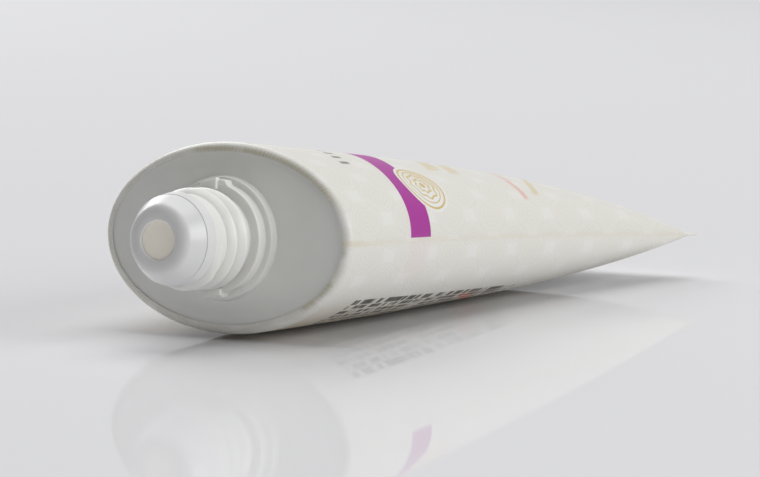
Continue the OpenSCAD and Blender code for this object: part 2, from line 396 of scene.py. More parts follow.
class Ink(Enum):
    """Colours printed on the sleeve, and the film's own; the panel's warm tint is also painted
    shade on the underside.
    """

    FILM = "dedddb"
    GROUND = "d7d5cd"
    LINE = "e1e1df"
    CREASE = "c8bd9c"
    PURPLE = "9e288d"
    GOLD = "c4ad66"
    RED = "d8614e"
    TEXT = "4b4640"
    FRINGE = "a39a78"
    # Warm panel under the small print, partly painted shade that deepens towards the underside
    PANEL = "c4b089"
    PINK = "d9a5bd"


@dataclass(frozen=True)
class Bar:
    """Soft printed bar that follows a parabola across the film, in millimetres."""

    ink: Ink
    start: float
    slope: float
    bend: float
    half: float
    low: float
    high: float
    pitch: float
    fill: float
    strength: float


@dataclass(frozen=True)
class PrintPlan:
    """Where the print lies on the film, in millimetres.

    Distances round the girth are signed from the right-hand crease: the front is
    positive and the back negative. Distances along start at the full section.
    Curves are start, slope and bend of a parabola of the distance round the girth.
    """

    star_pitch: float = 13.3
    row_pitch: float = 8.8
    star_at: float = 11.0
    front_row: float = 4.0
    back_row: float = -2.2
    round_r: float = 0.5
    star_edge: float = 0.56
    round_lines: tuple[tuple[float, float], ...] = ((0.84, 0.022), (0.7, 0.018), (0.5, 0.014))
    dot_ring: tuple[float, float] = (0.15, 0.022)
    dots_per_turn: float = 12.0
    band_near: tuple[float, float, float] = (17.2, 0.08, 0.0128)
    band_far: tuple[float, float, float] = (23.6, 0.03, 0.0155)
    band_low: float = 0.55
    band_high: float = 62.0
    tint_low: float = -6.5
    tint_high: float = 0.3
    roundel_at: float = 28.8
    roundel_up: float = 10.7
    roundel_r: float = 5.7
    roundel_long: float = 5.8
    roundel_short: float = 4.9
    roundel_turn: float = 48.0
    surround: float = 0.6
    fine_from: float = 9.0
    fine_to: float = 63.0
    fine_top: float = -11.3
    fine_bottom: float = -51.5
    fine_pitch: float = 1.75
    fringe_right: float = -2.1
    fringe_left: float = -0.5
    crown_at: float = 33.5
    # Limits of the warm panel, which is partly painted shade on the underside
    panel_shade_low: float = -56.0
    panel_shade_end: float = 90.0
    crease_at: float = 0.1
    bars: tuple[Bar, ...] = (
        Bar(Ink.TEXT, 8.2, 0.06, 0.0145, 1.5, 17.3, 27.0, 2.9, 0.42, 0.8),
        Bar(Ink.GOLD, 34.0, 0.06, 0.0250, 2.4, 16.5, 46.0, 60.0, 1.0, 0.45),
        Bar(Ink.GOLD, 40.2, 0.06, 0.0250, 2.0, 15.3, 47.0, 60.0, 1.0, 0.4),
        Bar(Ink.RED, 59.0, 0.06, 0.0160, 0.8, 7.2, 13.5, 60.0, 1.0, 0.4),
        Bar(Ink.RED, 58.6, 0.06, 0.0200, 1.4, 13.0, 55.0, 60.0, 1.0, 0.22),
        Bar(Ink.GOLD, 62.0, 0.06, 0.0420, 1.1, 8.5, 54.0, 60.0, 1.0, 0.45),
        Bar(Ink.RED, 39.5, 0.0, 0.0500, 2.2, -18.5, -13.2, 1.75, 0.7, 0.8),
    )


def make_material(name: str) -> tuple[bpy.types.Material, bpy.types.NodeTree, bpy.types.Node]:
    """Makes an empty node material with its output.

    Args:
        name: The material's name.

    Returns:
        The material, its node tree and its output node.
    """
    made = bpy.data.materials.new(name)
    made.use_nodes = True
    tree = made.node_tree
    tree.nodes.clear()
    return made, tree, add_node(tree, "OutputMaterial")


@dataclass(frozen=True)
class PrintedLaminate:
    """Glossy white polyethylene laminate film, printed and wrapped to a tube.

    The film gives a broad soft gloss, and the print is matt colour under it.
    """

    plan: PrintPlan = PrintPlan()
    roughness: float = 0.42
    ior: float = 1.5

    def material(self) -> bpy.types.Material:
        """Builds the film with its print."""
        made, tree, out = make_material("printed_laminate_film")
        place = add_node(tree, "UVMap", uv_map="print")
        split = add_node(tree, "SeparateXYZ", place)
        u, v = split.outputs[0], split.outputs[1]
        front = add_node(tree, "Math:GREATER_THAN", u, 0.0)
        colour = self.pattern(tree, u, v, front)
        colour = self.crease(tree, u, v, colour)
        colour = self.fine_print(tree, u, v, colour)
        colour = self.front_print(tree, u, v, colour)
        colour = self.fringe(tree, u, v, colour)
        grain = add_node(tree, "TexCoord")
        film = add_node(
            tree, "TexNoise", grain.outputs["Object"], None, 900.0, 2.0, noise_dimensions="3D"
        )
        bump = add_node(tree, "Bump", {"Strength": 0.06, "Distance": 0.0002, "Height": film})
        surface = add_node(
            tree, "BsdfPrincipled",
            {"Base Color": colour, "Roughness": self.roughness, "IOR": self.ior, "Normal": bump},
        )
        tree.links.new(surface.outputs[0], out.inputs[0])
        return made

    def lay(self, tree, under, ink: Ink, mask, strength: float = 1.0):
        """Lays one ink over a colour where a mask is 1."""
        mix = add_node(
            tree, "Mix", {6: under, 7: linear(ink.value)}, data_type="RGBA", blend_type="MIX"
        )
        share = add_node(tree, "Math:MULTIPLY", mask, strength)
        tree.links.new(share.outputs[0], mix.inputs[0])
        return mix.outputs[2]

    def within(self, tree, mask, value, low: float, high: float, soft: float = 0.05):
        """Keeps a mask only where a value lies between two limits, with soft ends."""
        for edge, sign in ((low, 1.0), (high, -1.0)):
            past = add_node(tree, "Math:MULTIPLY_ADD", value, sign, -edge * sign)
            part = add_node(tree, "MapRange", past, -soft, soft, 0.0, 1.0)
            mask = add_node(tree, "Math:MULTIPLY", mask, part)
        return mask

    def pattern(self, tree, u, v, front):
        """All-over ground of touching rounds, with light four-pointed stars between."""
        p = self.plan
        row = add_node(tree, "Math:MULTIPLY_ADD", front, p.front_row - p.back_row, p.back_row)
        x = add_node(tree, "Math:SUBTRACT", v, p.star_at)
        x = add_node(tree, "Math:DIVIDE", x, p.star_pitch)
        y = add_node(tree, "Math:SUBTRACT", u, row)
        y = add_node(tree, "Math:DIVIDE", y, p.row_pitch)
        a = add_node(tree, "Math:FRACT", add_node(tree, "Math:ADD", x, y))
        b = add_node(tree, "Math:FRACT", add_node(tree, "Math:SUBTRACT", x, y))
        a = add_node(tree, "Math:SUBTRACT", a, 0.5)
        b = add_node(tree, "Math:SUBTRACT", b, 0.5)
        both = add_node(tree, "CombineXYZ", a, b, 0.0)
        away = add_node(tree, "VectorMath:LENGTH", both).outputs["Value"]
        square = add_node(
            tree, "Math:MAXIMUM", add_node(tree, "Math:ABSOLUTE", a),
            add_node(tree, "Math:ABSOLUTE", b),
        )
        nested = add_node(tree, "Math:ADD", away, square)
        colour = linear(Ink.GROUND.value)
        lines = [(nested, radius, half) for radius, half in p.round_lines]
        for value, radius, half in (*lines, (away, 0.0, 0.03)):
            line = add_node(tree, "Math:COMPARE", value, radius, half)
            colour = self.lay(tree, colour, Ink.LINE, line, 0.55)
        turn = add_node(tree, "Math:ARCTAN2", b, a)
        turn = add_node(tree, "Math:MULTIPLY", turn, p.dots_per_turn)
        dots = add_node(tree, "MapRange", add_node(tree, "Math:SINE", turn), 0.0, 0.6, 0.0, 1.0)
        ring = add_node(tree, "Math:COMPARE", away, *p.dot_ring)
        ring = add_node(tree, "Math:MULTIPLY", ring, dots)
        colour = self.lay(tree, colour, Ink.LINE, ring, 0.5)
        star = add_node(tree, "MapRange", away, p.round_r, p.star_edge, 0.0, 1.0)
        return self.lay(tree, colour, Ink.LINE, star, 0.5)

    def crease(self, tree, u, v, under):
        """Faint beige line along the side crease, where front and back prints meet."""
        off = add_node(tree, "Math:SUBTRACT", u, self.plan.crease_at)
        off = add_node(tree, "Math:ABSOLUTE", off)
        line = add_node(tree, "MapRange", off, 0.2, 0.7, 0.4, 0.0)
        near = add_node(tree, "MapRange", v, 1.0, 9.0, 1.0, 0.35)
        return self.lay(tree, under, Ink.CREASE, add_node(tree, "Math:MULTIPLY", line, near))

    def fine_print(self, tree, u, v, under):
        """Block of short plain bars in rows on a warmer panel, where the small print lies; the
        panel deepens towards the underside as painted shade.
        """
        p = self.plan
        # Painted shade: a warm tint over the small print's panel, deepening from u = -11 towards
        # the underside
        low = add_node(tree, "MapRange", u, -30.0, -11.0, 1.0, 0.0)
        low = self.within(tree, low, u, p.panel_shade_low, 0.0)
        low = self.within(tree, low, v, 0.5, p.panel_shade_end, 0.5)
        under = self.lay(tree, under, Ink.PANEL, low, 0.9)
        row = add_node(tree, "Math:SUBTRACT", u, p.fine_top)
        row = add_node(tree, "Math:DIVIDE", row, p.fine_pitch)
        number = add_node(tree, "Math:FLOOR", row)
        first = add_node(tree, "Math:GREATER_THAN", number, -1.5)
        part = add_node(tree, "Math:FRACT", row)
        gap = add_node(tree, "Math:MULTIPLY_ADD", first, -0.17, 0.34)
        inside = add_node(tree, "Math:GREATER_THAN", part, gap)
        shift = add_node(tree, "Math:MULTIPLY", number, 7.31)
        along = add_node(tree, "CombineXYZ", v, shift, 0.0)
        words = add_node(
            tree, "TexNoise", along, None, 0.85, 2.0, noise_dimensions="2D", normalize=True
        )
        bars = add_node(tree, "MapRange", words.outputs[0], 0.44, 0.5, 0.0, 1.0)
        mask = add_node(tree, "Math:MULTIPLY", inside, bars)
        mask = self.within(tree, mask, u, p.fine_bottom, p.fine_top)
        return self.lay(tree, under, Ink.TEXT, self.within(tree, mask, v, p.fine_from, p.fine_to))

    def curve(self, tree, u, start: float, slope: float, bend: float):
        """Distance along at which a printed curve lies, as a parabola of u."""
        steep = add_node(tree, "Math:MULTIPLY_ADD", u, bend, slope)
        return add_node(tree, "Math:MULTIPLY_ADD", steep, u, start)

    def front_print(self, tree, u, v, under):
        """Purple band with its roundel, and soft gold and red bars beyond it."""
        p = self.plan
        past = add_node(tree, "Math:SUBTRACT", v, self.curve(tree, u, *p.band_near))
        left = add_node(tree, "Math:SUBTRACT", self.curve(tree, u, *p.band_far), v)
        after = add_node(tree, "MapRange", past, -0.05, 0.05, 0.0, 1.0)
        before = add_node(tree, "MapRange", left, -0.05, 0.05, 0.0, 1.0)
        band = add_node(tree, "Math:MULTIPLY", after, before)
        inked = self.within(tree, band, u, p.band_low, p.band_high)
        tinted = self.within(tree, band, u, p.tint_low, p.tint_high, 1.0)
        colour = self.lay(tree, under, Ink.PURPLE, inked)
        colour = self.lay(tree, colour, Ink.PINK, tinted, 0.08)
        turn = math.radians(p.roundel_turn)
        dx = add_node(tree, "Math:SUBTRACT", v, p.roundel_at)
        dy = add_node(tree, "Math:SUBTRACT", u, p.roundel_up)
        far, near = p.roundel_r / p.roundel_long, p.roundel_r / p.roundel_short
        x = add_node(
            tree, "Math:MULTIPLY_ADD", dx, math.cos(turn) * far,
            add_node(tree, "Math:MULTIPLY", dy, math.sin(turn) * far),
        )
        y = add_node(
            tree, "Math:MULTIPLY_ADD", dx, -math.sin(turn) * near,
            add_node(tree, "Math:MULTIPLY", dy, math.cos(turn) * near),
        )
        from_mid = add_node(
            tree, "VectorMath:LENGTH", add_node(tree, "CombineXYZ", x, y, 0.0)
        ).outputs["Value"]
        angle = add_node(tree, "Math:ARCTAN2", y, x)
        colour = self.lay(
            tree, colour, Ink.FILM,
            add_node(tree, "Math:LESS_THAN", from_mid, p.roundel_r + p.surround),
        )
        wash = add_node(tree, "MapRange", x, -1.0, 5.0, 0.0, 0.45)
        wash = add_node(
            tree, "Math:MULTIPLY", wash, add_node(tree, "Math:LESS_THAN", from_mid, p.roundel_r)
        )
        colour = self.lay(tree, colour, Ink.GOLD, wash)
        petals = add_node(tree, "Math:SINE", add_node(tree, "Math:MULTIPLY", angle, 8.0))
        scallop = add_node(tree, "Math:MULTIPLY_ADD", petals, 0.22, from_mid)
        for value, radius, half, strength in (
            (from_mid, p.roundel_r - 0.22, 0.22, 0.95), (from_mid, 4.35, 0.15, 0.8),
            (scallop, 3.2, 0.22, 0.9), (scallop, 1.8, 0.24, 0.9), (from_mid, 0.3, 0.45, 0.9),
        ):
            ring = add_node(tree, "Math:COMPARE", value, radius, half)
            colour = self.lay(tree, colour, Ink.GOLD, ring, strength)
        for bar in p.bars:
            colour = self.bar(tree, u, v, colour, bar)
        return colour

    def bar(self, tree, u, v, under, bar: Bar):
        """Lays one soft bar, broken into marks where its pitch is short."""
        middle = self.curve(tree, u, bar.start, bar.slope, bar.bend)
        off = add_node(tree, "Math:ABSOLUTE", add_node(tree, "Math:SUBTRACT", v, middle))
        line = add_node(tree, "MapRange", off, bar.half * 0.6, bar.half * 1.2, 1.0, 0.0)
        step = add_node(tree, "Math:FRACT", add_node(tree, "Math:DIVIDE", u, bar.pitch))
        mark = add_node(tree, "MapRange", step, bar.fill - 0.1, bar.fill + 0.05, 1.0, 0.0)
        mask = add_node(tree, "Math:MULTIPLY", line, mark)
        mask = self.within(tree, mask, u, bar.low, bar.high, 0.4)
        return self.lay(tree, under, bar.ink, mask, bar.strength)

    def fringe(self, tree, u, v, under):
        """Ragged tan end of the print, where the film wraps the shoulder's edge."""
        p = self.plan
        strokes = add_node(
            tree, "TexNoise", add_node(tree, "CombineXYZ", u, 0.0, 0.0), None, 3.2, 2.0,
            noise_dimensions="2D",
        )
        patches = add_node(
            tree, "TexNoise", add_node(tree, "CombineXYZ", u, 9.0, 0.0), None, 0.16, 1.0,
            noise_dimensions="2D",
        )
        girth = add_node(tree, "Math:ABSOLUTE", u)
        at = add_node(tree, "MapRange", girth, 34.0, 50.0, p.fringe_right, p.fringe_left)
        off = add_node(tree, "Math:ABSOLUTE", add_node(tree, "Math:SUBTRACT", v, at))
        reach = add_node(tree, "MapRange", strokes.outputs[0], 0.35, 0.65, 0.4, 0.6)
        soft = add_node(tree, "Math:SUBTRACT", reach, off)
        mask = add_node(tree, "MapRange", soft, -0.35, 0.4, 0.0, 1.0)
        stroke = add_node(tree, "MapRange", strokes.outputs[0], 0.4, 0.6, 0.75, 1.0)
        amount = add_node(tree, "MapRange", patches.outputs[0], 0.44, 0.58, 0.1, 0.9)
        crown = add_node(tree, "Math:ABSOLUTE", add_node(tree, "Math:SUBTRACT", u, p.crown_at))
        crown = add_node(tree, "MapRange", crown, 3.0, 6.0, 1.0, 0.0)
        amount = add_node(tree, "Math:MAXIMUM", amount, crown)
        below = add_node(tree, "MapRange", u, -26.0, -14.0, 0.15, 1.0)
        amount = add_node(tree, "Math:MULTIPLY", amount, below)
        amount = add_node(tree, "Math:MULTIPLY", amount, stroke)
        mask = add_node(tree, "Math:MULTIPLY", mask, amount)
        return self.lay(tree, under, Ink.FRINGE, mask, 0.65)


@dataclass(frozen=True)
class MouldedPlastic:
    """Moulded polyethylene: waxy, slightly translucent and faintly uneven.

    The light that goes into it softens shadows, and the mould leaves a fine grain.
    """

    name: str
    colour: str
    roughness: float
    scatter: float
    radius_mm: float
    grain_mm: float = 0.35

    def material(self) -> bpy.types.Material:
        """Builds the plastic."""
        made, tree, out = make_material(self.name)
        place = add_node(tree, "TexCoord").outputs["Object"]
        grain = add_node(
            tree, "TexNoise", place, None, 1 / (self.grain_mm * MM), 2.0, noise_dimensions="3D"
        )
        bump = add_node(tree, "Bump", {"Strength": 0.05, "Distance": 0.0001, "Height": grain})
        cloud = add_node(tree, "TexNoise", place, None, 120.0, 2.0, noise_dimensions="3D")
        tone = add_node(tree, "MapRange", cloud.outputs[0], 0.3, 0.7, 0.0, 1.0)
        base = linear(self.colour)
        deeper = tuple(c * 0.96 for c in base[:3]) + (1.0,)
        colour = add_node(tree, "Mix", {6: base, 7: deeper, 0: tone}, data_type="RGBA")
        surface = add_node(
            tree, "BsdfPrincipled",
            {
                "Base Color": colour.outputs[2], "Roughness": self.roughness, "IOR": 1.5,
                "Subsurface Weight": self.scatter, "Subsurface Scale": self.radius_mm * MM,
                "Subsurface Radius": (1.0, 0.95, 0.85), "Normal": bump,
            },
        )
        tree.links.new(surface.outputs[0], out.inputs[0])
        return made


# Natural polyethylene of the head is a touch warmer and darker than the white insert
HEAD_PLASTIC = MouldedPlastic("natural_polyethylene_moulded", "e0e0dc", 0.38, 0.35, 1.2)
INSERT_PLASTIC = MouldedPlastic("white_polyethylene_moulded", "dadada", 0.3, 0.3, 0.8)
CREAM = MouldedPlastic("beige_cream", "fff8ea", 0.45, 0.15, 1.0)


# Pieces


@dataclass(frozen=True)
class Sleeve:
    """The printed film: wrapped edge, filled body and flat ridged seal."""

    seal_ridges: int = 5
    seal_groove: float = 0.12
    body_rings: int = 64
    cavity_rings: int = 20
    lip_rings: int = 12
    lip_angle: float = 82.0
    ring_crowding: float = 1.7
    cavity_end: float = 0.985
    ridge_rings: int = 6

    def rings(self) -> tuple[list[Ring], list[float]]:
        """Rings from the seal's end over the body and the rim into the cavity.

        Returns:
            The rings, and how far along the film each one lies.
        """
        f = FORM
        rings, along = [], []
        count = self.seal_ridges * self.ridge_rings
        for k in range(count, -1, -1):
            y = f.fill_len + f.seal_len * k / count
            wave = 0.5 + 0.5 * math.cos(2 * math.pi * k / self.ridge_rings)
            rings.append(f.seal_ring(y, f.seal_t - 2 * self.seal_groove * wave**2))
            along.append(y)
        for i in range(self.body_rings - 1, -1, -1):
            v = 1 - (1 - i / self.body_rings) ** self.ring_crowding
            rings.append(f.ring_at(v * f.fill_len, v, 0))
            along.append(v * f.fill_len)
        for i in range(1, self.lip_rings + 1):
            t = math.radians(self.lip_angle * i / self.lip_rings)
            r = f.rim_r - f.wall * f.lip_thin * (i / self.lip_rings) ** 2
            rings.append(f.rim_ring(-r * math.sin(t), f.rim_r - r * math.cos(t)))
            along.append(-f.rim_r * t)
        inner = f.rim_r - f.wall
        for i in range(self.lip_rings, 0, -1):
            t = math.radians(self.lip_angle * i / self.lip_rings)
            rings.append(f.rim_ring(-inner * math.sin(t), f.rim_r - inner * math.cos(t)))
            along.append(-20.0)
        for i in range(self.cavity_rings + 1):
            v = self.cavity_end * (1 - (1 - i / self.cavity_rings) ** self.ring_crowding)
            rings.append(f.ring_at(v * f.fill_len, v, f.wall))
            along.append(-20.0)
        return rings, along

    def build(self) -> bpy.types.Object:
        """Models the film, maps the print onto it and dresses it."""
        rings, along = self.rings()
        obj, place = loft("sleeve_film", rings)
        self.map_print(obj, place, rings, along)
        obj.data.transform(FORM.laid())
        finish_piece(obj, PrintedLaminate().material(), "sleeve", 35)
        return obj

    def map_print(self, obj, place: np.ndarray, rings: list[Ring], along: list[float]) -> None:
        """Writes the distances round and along the film to the UV map, in millimetres.

        Args:
            obj: The film.
            place: For each vertex its ring and its place round it.
            rings: The rings of points.
            along: How far along the film each ring lies.
        """
        half = FORM.points // 2
        girth = np.zeros((len(rings), FORM.points + 1))
        for k, ring in enumerate(rings):
            step = np.linalg.norm(np.roll(ring, -1, 0) - ring, axis=1)
            up = np.concatenate([[0], np.cumsum(step[:half])])
            down = np.concatenate([[0], np.cumsum(step[half:])])
            girth[k, : half + 1] = up / up[-1] * FORM.girth / 2
            girth[k, half:] = (down / down[-1] - 1) * FORM.girth / 2
            girth[k, half] = FORM.girth / 2
        layer = obj.data.uv_layers.new(name="print")
        uv = np.zeros((len(obj.data.loops), 2))
        for face in obj.data.polygons:
            turns = place[list(face.vertices), 1]
            below = turns.max() > half and len(turns) == 4
            for loop, (k, i) in zip(face.loop_indices, place[list(face.vertices)]):
                u = girth[k, i]
                if below and i == half:
                    u = -FORM.girth / 2
                uv[loop] = u, along[k]
        layer.uv.foreach_set("vector", uv.astype(np.float32).ravel())


@dataclass(frozen=True)
class TubeHead:
    """The moulded head: oval shoulder with a skirt, ring, collar, lugs, neck, thread."""

    shoulder_t: float = 1.5
    shoulder_flat: float = 2.0
    skirt_len: float = 3.0
    skirt_t: float = 0.8
    bore_r: float = 6.0
    neck_r: float = 7.35
    ring_r: float = 10.1
    ring_h: float = 1.35
    ring_foot: float = 0.25
    collar_r: float = 9.0
    collar_h: float = 2.0
    thread_r: float = 8.3
    thread_pitch: float = 3.15
    thread_top: float = 0.4
    thread_foot: float = 2.2
    thread_lean: float = 0.55
    thread_angle: float = -5.0
    thread_start: float = 0.1
    thread_end: float = 0.35
    thread_segs: int = 90
    lug_w: float = 4.2
    lug_inset: float = 0.4
    lug_hollow: float = 1.3
    lug_bite: float = 0.05
    tooth_w: float = 3.1
    tooth_shift: float = 0.7
    tooth_rise: float = 0.95
    tooth_h: float = 0.7
    sunk: float = 0.3
    overlap: float = 1.0
    edge: float = 0.16
    steps: int = 180

    def shoulder(self) -> bpy.types.Object:
        """Oval plate with its rounded edge and its skirt, open in the middle."""
        f = FORM
        edge = f.wall + f.skirt_gap
        edge_r = f.rim_r - edge
        inner_r = edge_r - self.skirt_t
        back = self.shoulder_t - edge_r
        skirt_v = self.skirt_len / f.fill_len
        rings = [
            f.round_ring(-f.face_y, self.ring_r - self.overlap),
            f.round_ring(-f.face_y, self.ring_r + 2 * self.ring_foot),
            f.rim_ring(-edge_r, f.rim_r + self.shoulder_flat),
        ]
        for i in range(10, -1, -1):
            t = math.radians(9.0 * i)
            rings.append(f.rim_ring(-edge_r * math.sin(t), f.rim_r - edge_r * math.cos(t)))
        rings += [
            f.ring_at(self.skirt_len, skirt_v, edge),
            f.ring_at(self.skirt_len, skirt_v, edge + self.skirt_t),
            f.rim_ring(back + inner_r, edge + self.skirt_t),
            f.rim_ring(back, edge + self.skirt_t + inner_r),
            f.round_ring(back - f.shoulder_rise, self.ring_r - self.overlap),
        ]
        return loft("shoulder", rings, closed=True)[0]

    def neck(self) -> bpy.types.Object:
        """Ring, collar and neck with its bore, turned as one."""
        top, n = FORM.neck_len, self
        obj = turned("neck", [
            (n.bore_r, -n.shoulder_t), (n.ring_r + n.ring_foot, -n.shoulder_t),
            (n.ring_r + n.ring_foot, 0), (n.ring_r, n.ring_foot), (n.ring_r, n.ring_h),
            (n.collar_r, n.ring_h), (n.collar_r, n.ring_h + n.collar_h),
            (n.neck_r, n.ring_h + n.collar_h), (n.neck_r, top), (n.bore_r, top),
        ], self.steps)
        soften(obj, 0.22)
        return obj

    def thread(self) -> bpy.types.Object:
        """Right-handed ridge with rounded flanks that runs out at both ends."""
        first = FORM.neck_len - self.thread_start - self.thread_foot / 2
        last = self.ring_h + self.collar_h + self.thread_end + self.thread_foot / 2
        count = int((first - last) / self.thread_pitch * self.thread_segs)
        fade_steps = self.thread_segs // 8
        foot, top = self.thread_foot / 2, self.thread_top / 2
        lean = self.thread_lean * (foot - top)
        rings = []
        for i in range(count + 1):
            fade = max(min(1, i / fade_steps, (count - i) / fade_steps), 0.05)
            rise = (self.thread_r - self.neck_r) * fade
            z = first - i / self.thread_segs * self.thread_pitch
            a = math.radians(self.thread_angle - 360 * i / self.thread_segs)
            profile = [
                (-self.sunk, -foot), (rise * 0.1, -foot + 0.12), (rise * 0.9, -top - 0.03 - lean),
                (rise, -top + 0.1 - lean), (rise, top - 0.1 - lean),
                (rise * 0.9, top + 0.12 - lean), (rise * 0.1, foot - 0.25), (-self.sunk, foot),
            ]
            rings.append(np.array([
                ((self.neck_r + r) * math.cos(a), (self.neck_r + r) * math.sin(a), z + h)
                for r, h in profile
            ]))
        return loft("thread", rings)[0]

    def block(self, name: str, low: tuple, high: tuple) -> bpy.types.Object:
        """Adds a cube between two corners in millimetres, with its place in its mesh."""
        bpy.ops.object.select_all(action="DESELECT")
        bpy.ops.mesh.primitive_cube_add(size=1.0)
        obj = bpy.context.object
        obj.name = name
        low, high = Vector(low) * MM, Vector(high) * MM
        size = Matrix.Diagonal((*(high - low), 1.0))
        obj.data.transform(Matrix.Translation((low + high) / 2) @ size)
        return obj

    def rod(self, name: str, x: float, y: float, r: float, low: float, high: float):
        """Adds an upright cylinder in millimetres, with its place in its mesh."""
        bpy.ops.object.select_all(action="DESELECT")
        bpy.ops.mesh.primitive_cylinder_add(vertices=96, radius=r * MM, depth=(high - low) * MM)
        obj = bpy.context.object
        obj.name = name
        obj.data.transform(Matrix.Translation((x * MM, y * MM, (low + high) / 2 * MM)))
        return obj

    def lug(self) -> bpy.types.Object:
        """Stop lug with hollow sides and a wedge tooth in front."""
        low, high = self.ring_h - self.sunk, self.ring_h + self.collar_h - 0.05
        from_axis = self.collar_r + self.lug_hollow - self.lug_bite
        x = self.lug_w / 2 + self.lug_hollow
        y = math.sqrt(from_axis**2 - x**2)
        share = self.collar_r / from_axis
        obj = self.block("lug", (-x * share, y * share - 2 * self.sunk, low), (x * share, 14, high))
        combine(obj, [self.rod("round", 0, 0, self.ring_r - self.lug_inset, low - 1, high + 1)],
                "INTERSECT")
        combine(obj, [
            self.rod("hollow", side * x, y, self.lug_hollow, low - 1, high + 1) for side in (-1, 1)
        ], "DIFFERENCE")
        soften(obj, self.edge)
        left = -self.tooth_w / 2 - self.tooth_shift
        front = self.ring_h + self.collar_h
        tooth = self.block(
            "tooth", (left, self.collar_r - self.tooth_rise, front - self.sunk),
            (left + self.tooth_w, self.collar_r + self.tooth_rise, front + self.tooth_h),
        )
        co = corners(tooth)
        outer_left = (co[:, 1] > self.collar_r * MM) & (co[:, 0] < (left + 0.1) * MM)
        co[outer_left, 1] = (self.collar_r + 0.05) * MM
        set_corners(tooth, co)
        soften(tooth, self.edge * 0.7)
        combine(obj, [tooth], "UNION")
        return obj

    def build(self) -> bpy.types.Object:
        """Models the head as one solid and dresses it."""
        obj = self.neck()
        lugs = [self.lug(), self.lug()]
        lugs[1].data.transform(Matrix.Rotation(math.pi, 4, "Z"))
        combine(obj, [self.thread(), *lugs], "UNION")
        obj.data.transform(FORM.on_axis())
        combine(obj, [self.shoulder()], "UNION")
        obj.name = obj.data.name = "moulded_head"
        obj.data.transform(FORM.laid())
        finish_piece(obj, HEAD_PLASTIC.material(), "tube_head", 32)
        return obj


@dataclass(frozen=True)
class NozzleInsert:
    """The domed insert: end with the orifice, brim on the neck, plug in the bore."""

    orifice_r: float = 3.15
    orifice_round: float = 0.25
    end_r: float = 5.35
    side_round: float = 0.29
    brim_r: float = 7.65
    dome_r: float = 7.25
    seam: float = 0.18
    plug_len: float = 6.0
    plug_cut: float = 0.3
    brim_cut: float = 0.15
    step_in: float = 0.6
    passage_r: float = 4.6
    end_wall: float = 1.6
    plug_gap: float = 0.05
    bore_r: float = 6.0
    dome_steps: int = 24
    side_steps: int = 6
    lip_steps: int = 8
    steps: int = 224

    def profile(self) -> list[tuple[float, float]]:
        """Half section of the insert, from the plug's end round to the passage."""
        f, n = FORM, self
        top = f.brim_len + f.dome_h
        foot, corner = Vector((n.dome_r, f.brim_len)), Vector((n.end_r, top))
        start, end = corner.lerp(foot, n.side_round), Vector((f.flat_r, top))
        plug = n.bore_r - n.plug_gap
        points = [
            (n.passage_r, -n.plug_len), (plug - n.plug_cut, -n.plug_len),
            (plug, -n.plug_len + 2 * n.plug_cut), (plug, 0), (n.brim_r - n.brim_cut, 0),
            (n.brim_r, n.brim_cut), (n.dome_r + n.seam / 2, f.brim_len - n.seam),
            (n.dome_r - n.seam, f.brim_len - n.seam / 2), (n.dome_r - n.seam, f.brim_len),
        ]
        points += [tuple(foot.lerp(start, i / n.side_steps)) for i in range(n.side_steps)]
        for i in range(n.dome_steps + 1):
            t = i / n.dome_steps
            points.append(tuple((1 - t) ** 2 * start + 2 * t * (1 - t) * corner + t * t * end))
        for i in range(n.lip_steps + 1):
            t = math.pi / 2 * (1 + i / n.lip_steps)
            points.append((
                n.orifice_r + n.orifice_round * (1 + math.cos(t)),
                top - n.orifice_round * (1 - math.sin(t)),
            ))
        return points + [
            (n.orifice_r, top - n.end_wall), (n.passage_r, top - n.end_wall - n.step_in)
        ]

    def build(self) -> bpy.types.Object:
        """Models the insert and dresses it."""
        obj = turned("nozzle_insert_moulding", self.profile(), self.steps)
        up = Matrix.Translation((0, 0, FORM.neck_len * MM))
        obj.data.transform(FORM.laid() @ FORM.on_axis() @ up)
        finish_piece(obj, INSERT_PLASTIC.material(), "nozzle_insert", 32)
        return obj


@dataclass(frozen=True)
class Cream:
    """The cream that fills the tube and shows as a disc in the orifice."""

    depth: float = 0.45
    gap: float = 0.08
    sag: float = 0.1
    cavity_rings: int = 24
    cream_end: float = 0.981
    steps: int = 128

    def build(self, head: TubeHead, insert: NozzleInsert) -> bpy.types.Object:
        """Models the cream inside its neighbours and dresses it.

        Args:
            head: Sizes of the head around it.
            insert: Sizes of the insert around it.

        Returns:
            The piece.
        """
        f, gap = FORM, self.gap
        back = head.shoulder_t - f.face_y + f.shoulder_rise + gap
        inset = f.wall + f.skirt_gap + head.skirt_t + gap
        inner_r = f.rim_r - f.wall - f.skirt_gap - head.skirt_t
        skirt_end = head.skirt_len + gap
        rings = []
        for i in range(self.cavity_rings, 1, -1):
            v = self.cream_end * (1 - (1 - i / self.cavity_rings) ** 1.7)
            rings.append(f.ring_at(v * f.fill_len, v, f.wall + gap))
        rings += [
            f.ring_at(skirt_end, skirt_end / f.fill_len, inset),
            f.rim_ring(back + inner_r, inset), f.rim_ring(back, inset + inner_r),
        ]
        obj = loft("cream_body", rings)[0]
        top = f.neck_len + f.brim_len + f.dome_h
        joint = -head.shoulder_t - head.overlap
        bore, passage = insert.bore_r - gap, insert.passage_r - gap
        mouth = insert.orifice_r - 0.02
        surface = [
            (mouth * math.cos(t), top - self.depth - self.sag * (1 - math.cos(t)) * math.sin(t))
            for t in [math.pi / 2 * i / 12 for i in range(13)]
        ]
        column = turned("cream_column", [
            (0, joint), (bore, joint), (bore, f.neck_len - insert.plug_len - gap),
            (passage, f.neck_len - insert.plug_len - gap),
            (passage, top - insert.end_wall - insert.step_in - gap),
            (mouth, top - insert.end_wall - gap), *surface[:-1], (0, top - self.depth - self.sag),
        ], self.steps)
        column.data.transform(f.on_axis())
        combine(obj, [column], "UNION")
        obj.name = obj.data.name = "cream"
        obj.data.transform(f.laid())
        finish_piece(obj, CREAM.material(), "cream_filling", 40)
        return obj


# Room


